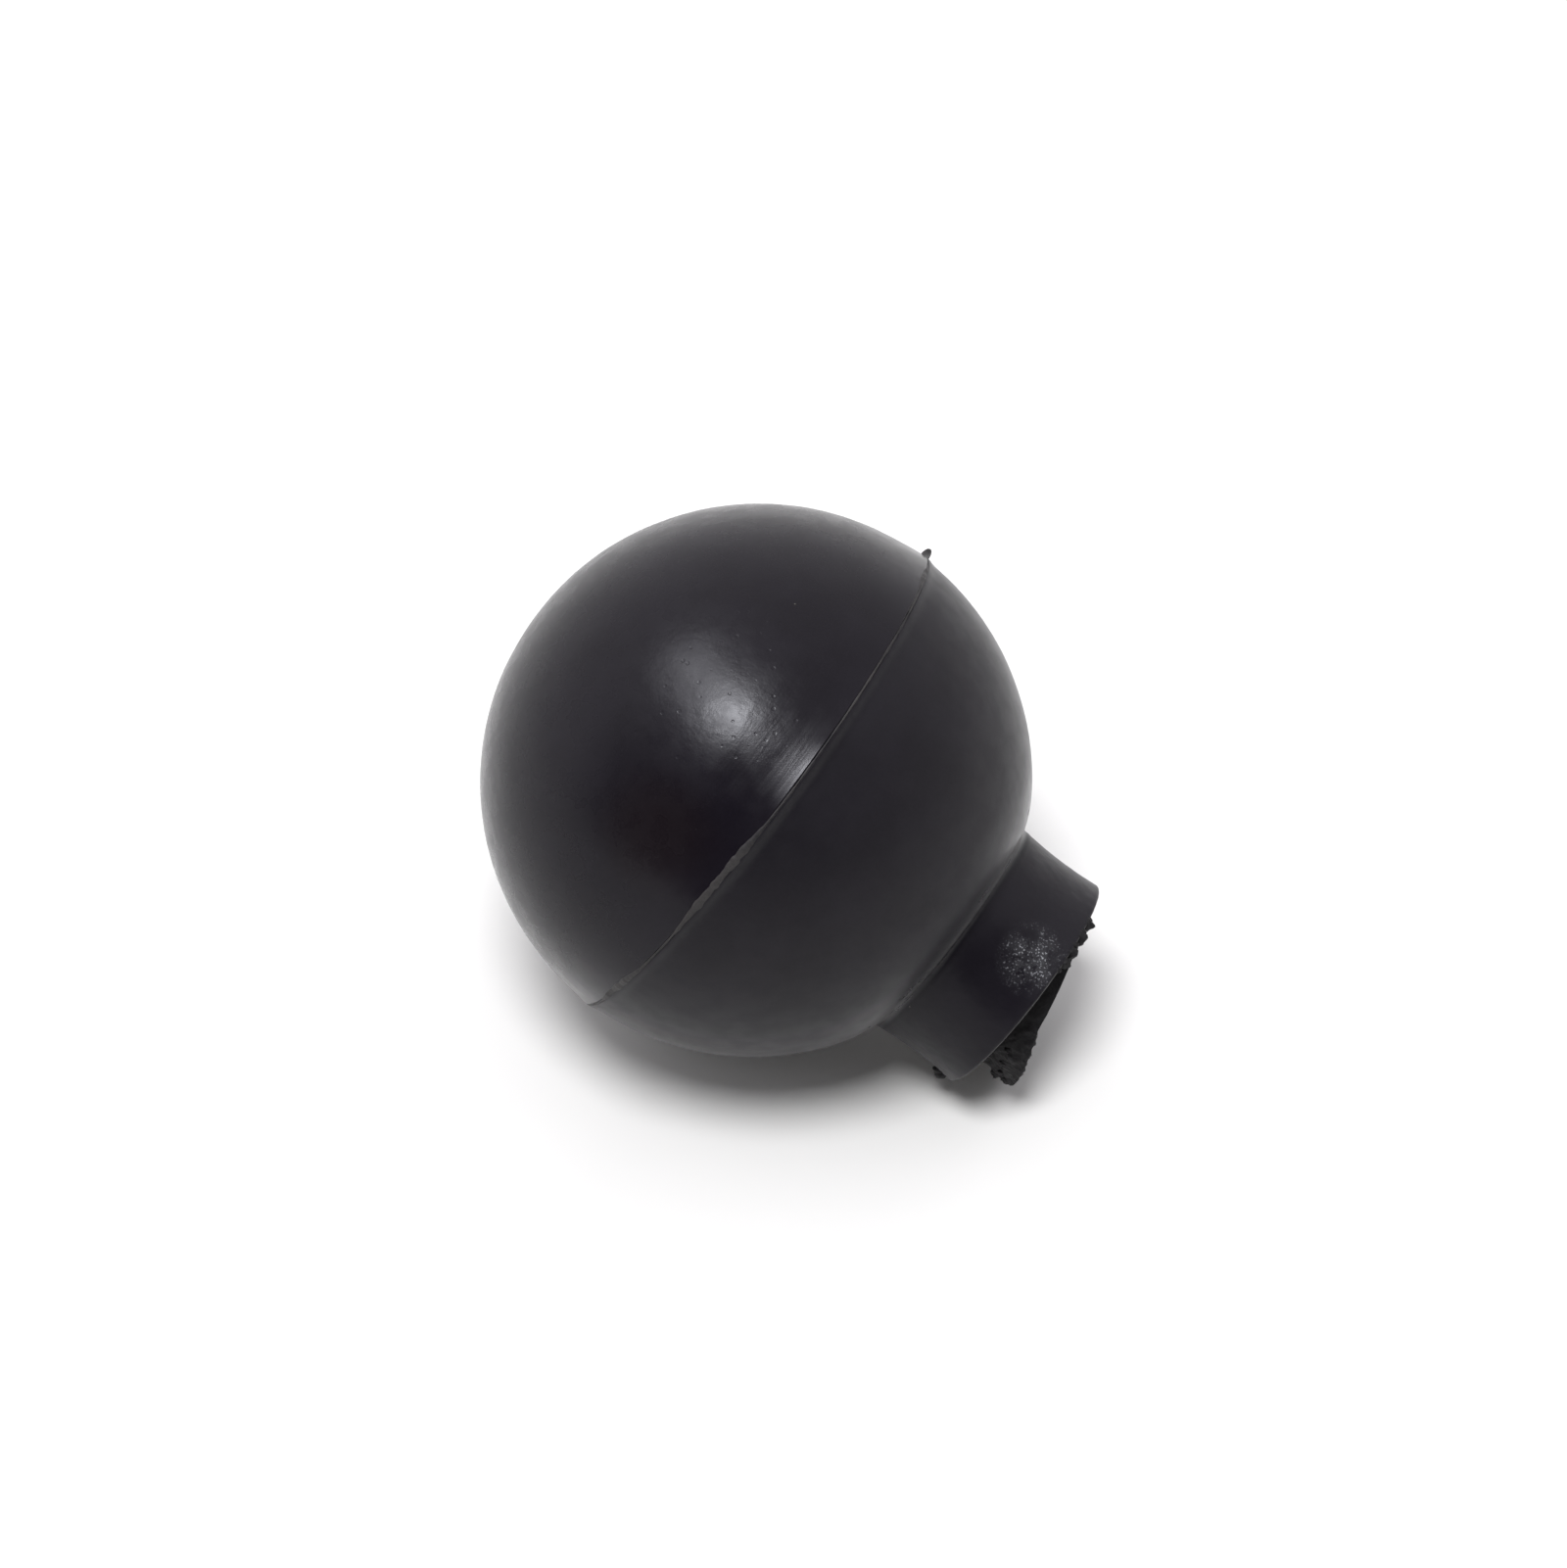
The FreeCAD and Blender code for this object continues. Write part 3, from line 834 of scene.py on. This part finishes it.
def make_camera():
    data = bpy.data.cameras.new("camera")
    data.angle = VIEW_ANGLE
    camera = bpy.data.objects.new("camera", data)
    bpy.context.scene.collection.objects.link(camera)
    widest = Vector(SEAM_CENTRE - AIM_BEHIND_SEAM * AXIS)
    aim = widest + AIM_RIGHT * VIEW_RIGHT - AIM_DOWN * VIEW_UP
    camera.location = aim + VIEW_DISTANCE * BACK
    camera.rotation_mode = "QUATERNION"
    camera.rotation_quaternion = (-BACK).to_track_quat("-Z", "Y")
    bpy.context.scene.camera = camera


def make_floor():
    bpy.ops.mesh.primitive_plane_add(size=FLOOR_WIDTH, location=(0, 0, 0))
    floor = bpy.context.object
    floor.name = "floor"
    material, nodes, shader = new_material("floor_white")
    tone = nodes.ramp(nodes.noise(0.05, 2, 0.5), 0.3, 0.7)
    nodes.link(nodes.mix(tone, FLOOR_DARK, FLOOR_LIGHT), shader.inputs["Base Color"])
    shader.inputs["Roughness"].default_value = FLOOR_ROUGHNESS
    shader.inputs["Specular IOR Level"].default_value = FLOOR_SPECULAR
    shader.inputs["Emission Color"].default_value = FLOOR_GLOW_COLOUR
    shader.inputs["Emission Strength"].default_value = FLOOR_GLOW
    floor.data.materials.append(material)


# ---------------------------------------------------------------- lights and room

# Lights seen only as reflections in the rubber: name, direction, distance, size and power.
GLOSS_LIGHTS = (
    ("key", (-0.045, -0.33, 0.955), 0.9, 0.23, 6.6),
    ("key_spread", (-0.22, -0.21, 0.953), 0.95, 0.34, 2.5),
    ("left_soft", (-0.44, -0.04, 0.90), 1.0, 0.36, 2.5),
)
GLOSS_COLOUR = (0.93, 0.94, 1.0)

TABLE_LIGHT_DIRECTION = (0.032, -0.318, 0.948)
TABLE_LIGHT_SPREAD = 0.38  # radians across, for the softness of the shadow
TABLE_LIGHT_STRENGTH = 2.9

ROOM_BRIGHT_SIDE = (-0.8, 0.6, 0.1)
ROOM_FADE = 0.8  # cosine towards that side where the room is brightest. It is dimmest at minus this.
ROOM_DIM = 0.62
ROOM_BRIGHT = 1.15
ROOM_COLOUR = (1.0, 0.985, 1.01, 1.0)
BACKDROP_COLOUR = (1.0, 1.0, 1.0, 1.0)
BACKDROP_STRENGTH = 1.2

# Dim parts of the room: direction, the cosines of how far round it the full dimming and its edge reach, and
# how much light is taken away.
DIM_PLACES = (
    ((-0.19, -0.94, 0.30), 0.96, 0.60, 0.92),
    ((0.56, -0.73, 0.40), 0.95, 0.58, 0.86),
)


def add_light(name, kind, way):
    """A light that shines from the way given, as seen from the ball."""
    light = bpy.data.objects.new(name, bpy.data.lights.new(name, kind))
    bpy.context.scene.collection.objects.link(light)
    light.rotation_mode = "QUATERNION"
    light.rotation_quaternion = way.to_track_quat("Z", "Y")
    return light


def gloss_light(name, direction, distance, size, power):
    """A disk of light seen in the rubber, which doesn't light the table."""
    way = Vector(direction).normalized()
    light = add_light(name, "AREA", way)
    light.location = Vector(SEAM_CENTRE) + way * distance
    light.data.shape = "DISK"
    light.data.size = size
    light.data.energy = power
    light.data.color = GLOSS_COLOUR
    light.visible_diffuse = False


def table_light():
    """An even, soft light on the table, not seen in the rubber."""
    light = add_light("table_light", "SUN", Vector(TABLE_LIGHT_DIRECTION))
    light.data.angle = TABLE_LIGHT_SPREAD
    light.data.energy = TABLE_LIGHT_STRENGTH
    light.visible_glossy = False


def make_world():
    """A pale room, brighter on the left and behind, with dim parts low on the camera's side.

    Seen straight on, the room is plain white.
    """
    world = bpy.data.worlds.new("studio")
    world.use_nodes = True
    bpy.context.scene.world = world
    tree = world.node_tree
    nodes = Nodes(tree, "Generated")

    def toward(direction):
        return nodes.along(Vector(direction).normalized())

    strength = nodes.ramp(toward(ROOM_BRIGHT_SIDE), -ROOM_FADE, ROOM_FADE, ROOM_DIM, ROOM_BRIGHT)
    for direction, inner, outer, depth in DIM_PLACES:
        share = nodes.ramp(toward(direction), outer, inner, 1.0, 1.0 - depth)
        strength = nodes.times(strength, share)
    room = tree.nodes["Background"]
    room.inputs["Color"].default_value = ROOM_COLOUR
    nodes.link(strength, room.inputs["Strength"])

    backdrop = tree.nodes.new("ShaderNodeBackground")
    backdrop.inputs["Color"].default_value = BACKDROP_COLOUR
    backdrop.inputs["Strength"].default_value = BACKDROP_STRENGTH
    mixed = tree.nodes.new("ShaderNodeMixShader")
    seen = tree.nodes.new("ShaderNodeLightPath").outputs["Is Camera Ray"]
    nodes.link(seen, mixed.inputs["Fac"])
    nodes.link(room.outputs["Background"], mixed.inputs[1])
    nodes.link(backdrop.outputs["Background"], mixed.inputs[2])
    nodes.link(mixed.outputs["Shader"], tree.nodes["World Output"].inputs["Surface"])


# ---------------------------------------------------------------- putting it together


def build():
    rear = make_rear_dome()
    rear.data.materials.append(rear_rubber())
    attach(rear, "ball")
    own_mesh(rear)
    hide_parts("rear_half_shell")

    front = make_front_dome()
    front.data.materials.append(front_rubber())
    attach(front, "ball")
    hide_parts("front_half_shell", "neck_tube")

    bead = make_seam_bead()
    bead.data.materials.append(seam_rubber())
    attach(bead, "ball")
    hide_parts("seam_bond_ring")

    plug = make_plug()
    plug.data.materials.append(torn_rubber())
    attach(plug, "ball")
    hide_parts("neck_plug")

    crumbs = make_crumbs()
    crumbs.data.materials.append(plug.data.materials[0])
    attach(crumbs, "ball")


bpy.context.scene.view_settings.view_transform = "Standard"
make_camera()
make_floor()
make_world()
for gloss in GLOSS_LIGHTS:
    gloss_light(*gloss)
table_light()
build()
